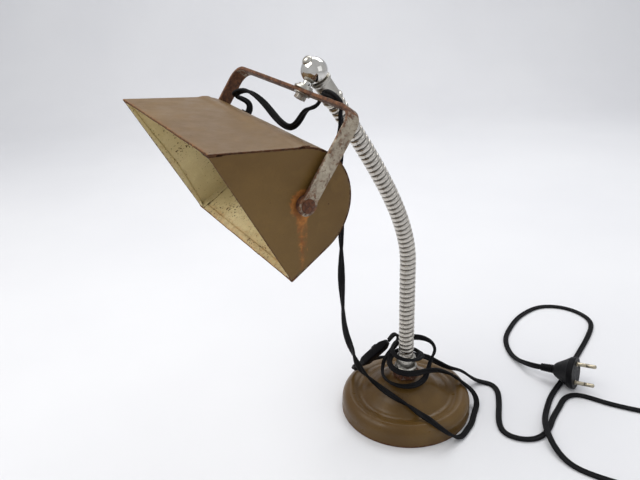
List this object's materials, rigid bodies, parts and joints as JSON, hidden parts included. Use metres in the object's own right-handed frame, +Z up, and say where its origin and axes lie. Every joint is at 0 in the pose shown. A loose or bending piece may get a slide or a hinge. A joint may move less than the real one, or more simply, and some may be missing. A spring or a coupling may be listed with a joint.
{
  "type": "gooseneck desk lamp",
  "caption": "Desk lamp with a round weighted foot, flexible gooseneck, ball swivel, U-bracket and a tilting open-fronted box shade, with trailing flex, in-line switch and plug.",
  "frame": {"origin": "centre of the foot on the surface it stands on", "axes": "+Z up; the plug lies towards +X and the neck leans the shade towards -X and -Y"},
  "size_m": [0.4968, 0.3356, 0.3583],
  "materials": {
    "painted_brown": "worn satin enamel",
    "painted_cream": "worn satin enamel",
    "chromed": "polished, pitted",
    "nickel": "worn satin",
    "plain_steel": "dull, rust stained",
    "bracket_paint": "worn, rust spotted",
    "cast_weight": "rough",
    "felt": "matte felt",
    "flex_pvc": "matte, dusty",
    "black_plastic": "moulded, scuffed",
    "brass_pins": "worn plated",
    "brass_cap": "bright",
    "opal_glass": "frosted opal"
  },
  "bodies": {
    "base": {"base_shell": "painted_brown", "base_weight": "cast_weight", "base_felt": "felt", "base_nipple": "plain_steel", "clamp_washer": "plain_steel", "clamp_nut": "plain_steel", "foot_nut": "nickel", "foot_collar": "nickel", "neck_foot": "nickel", "flex_foot": "flex_pvc", "flex_wound": "flex_pvc", "flex_tail": "flex_pvc", "flex_floor": "flex_pvc", "flex_lead": "flex_pvc", "switch_body": "black_plastic", "plug_body": "black_plastic", "plug_pin_upper": "brass_pins", "plug_pin_lower": "brass_pins"},
    "neck_top": {"neck_cup": "nickel", "ball_screw": "chromed"},
    "ball": {"swivel_ball": "chromed", "stud_nut": "plain_steel", "stud_washer": "plain_steel", "flex_drop": "flex_pvc"},
    "bracket": {"bracket_strap": "bracket_paint", "bracket_collar": "chromed", "flex_saddle": "flex_pvc", "flex_head": "flex_pvc"},
    "shade": {"shade_top_sheet": "painted_brown", "shade_back_sheet": "painted_brown", "shade_end_far": "painted_brown", "shade_end_near": "painted_brown", "pivot_spacer_near": "plain_steel", "pivot_screw_near": "plain_steel", "pivot_nut_near": "plain_steel", "pivot_spacer_far": "plain_steel", "pivot_screw_far": "plain_steel", "pivot_nut_far": "plain_steel", "lamp_holder": "black_plastic", "holder_foot": "plain_steel", "flex_grommet": "flex_pvc"},
    "bulb": {"bulb_cap": "brass_cap", "bulb_glass": "opal_glass"},
    "switch_slider": {"switch_button": "black_plastic"},
    "neck_1": {"neck_link_1": "nickel"},
    "neck_2": {"neck_link_2": "nickel", "flex_hang_4": "flex_pvc"},
    "neck_3": {"neck_link_3": "nickel"},
    "neck_4": {"neck_link_4": "nickel", "flex_hang_3": "flex_pvc"},
    "neck_5": {"neck_link_5": "nickel"},
    "neck_6": {"neck_link_6": "nickel", "flex_hang_2": "flex_pvc"},
    "neck_7": {"neck_link_7": "nickel"},
    "neck_8": {"neck_link_8": "nickel", "flex_hang_1": "flex_pvc"},
    "neck_9": {"neck_link_9": "nickel"}
  },
  "joints": [
    {"name": "neck_bend", "type": "hinge", "parent": "base", "child": "neck_1", "pos_m": [0, 0, 0.075], "axis": [0.4972, -0.8676, 0], "range_deg": [-9, 9], "deforming": ["flex_hang_4", "flex_foot"]},
    {"name": "neck_sway", "type": "hinge", "parent": "neck_1", "child": "neck_2", "pos_m": [0, 0, 0.10443], "axis": [-0.8676, -0.4972, 0], "range_deg": [-9, 9]},
    {"name": "neck_bend_2", "type": "hinge", "parent": "neck_2", "child": "neck_3", "pos_m": [0, 0, 0.13386], "axis": [0.4972, -0.8676, 0], "range_deg": [-9, 9], "deforming": ["flex_hang_3"]},
    {"name": "neck_sway_2", "type": "hinge", "parent": "neck_3", "child": "neck_4", "pos_m": [-0.00001, 0, 0.16329], "axis": [-0.8652, -0.4958, -0.0753], "range_deg": [-9, 9]},
    {"name": "neck_bend_3", "type": "hinge", "parent": "neck_4", "child": "neck_5", "pos_m": [-0.00382, -0.00219, 0.19231], "axis": [0.4972, -0.8676, 0], "range_deg": [-9, 9], "deforming": ["flex_hang_2"]},
    {"name": "neck_sway_3", "type": "hinge", "parent": "neck_5", "child": "neck_6", "pos_m": [-0.01244, -0.00713, 0.21998], "axis": [-0.799, -0.4579, -0.3899], "range_deg": [-9, 9]},
    {"name": "neck_bend_4", "type": "hinge", "parent": "neck_6", "child": "neck_7", "pos_m": [-0.02369, -0.01358, 0.24639], "axis": [0.4972, -0.8676, 0], "range_deg": [-9, 9], "deforming": ["flex_hang_1"]},
    {"name": "neck_sway_4", "type": "hinge", "parent": "neck_7", "child": "neck_8", "pos_m": [-0.03639, -0.02085, 0.27192], "axis": [-0.7447, -0.4268, -0.5131], "range_deg": [-9, 9]},
    {"name": "neck_bend_5", "type": "hinge", "parent": "neck_8", "child": "neck_9", "pos_m": [-0.04989, -0.02859, 0.2969], "axis": [0.4972, -0.8676, 0], "range_deg": [-9, 9]},
    {"name": "neck_sway_5", "type": "hinge", "parent": "neck_9", "child": "neck_top", "pos_m": [-0.06385, -0.03659, 0.32154], "axis": [-0.7233, -0.4145, -0.5522], "range_deg": [-9, 9]},
    {"name": "ball_swivel", "type": "hinge", "parent": "neck_top", "child": "ball", "pos_m": [-0.07883, -0.04518, 0.34728], "axis": [-0.4839, -0.2773, 0.83], "range_deg": [-60, 60], "deforming": ["flex_drop"]},
    {"name": "bracket_swivel", "type": "hinge", "parent": "ball", "child": "bracket", "pos_m": [-0.07883, -0.04518, 0.34728], "axis": [0.5152, 0.274, 0.8121], "range_deg": [-36, 28]},
    {"name": "shade_tilt", "type": "hinge", "parent": "bracket", "child": "shade", "pos_m": [-0.13217, -0.05549, 0.27734], "axis": [-0.529, 0.8472, 0.0498], "range_deg": [-75, 60], "deforming": ["flex_head"]},
    {"name": "bulb_unscrew", "type": "slide", "parent": "shade", "child": "bulb", "axis": [0.529, -0.8472, -0.0498], "range_m": [0, 0.033]},
    {"name": "switch_slide", "type": "slide", "parent": "base", "child": "switch_slider", "axis": [-0.6865, 0.0518, -0.7253], "range_m": [0, 0.0086]}
  ],
  "couplings": [
    {"joint": "neck_bend_2", "follows": "neck_bend", "ratio": 1},
    {"joint": "neck_sway_2", "follows": "neck_sway", "ratio": 1},
    {"joint": "neck_bend_3", "follows": "neck_bend", "ratio": 1},
    {"joint": "neck_sway_3", "follows": "neck_sway", "ratio": 1},
    {"joint": "neck_bend_4", "follows": "neck_bend", "ratio": 1},
    {"joint": "neck_sway_4", "follows": "neck_sway", "ratio": 1},
    {"joint": "neck_bend_5", "follows": "neck_bend", "ratio": 1},
    {"joint": "neck_sway_5", "follows": "neck_sway", "ratio": 1}
  ]
}
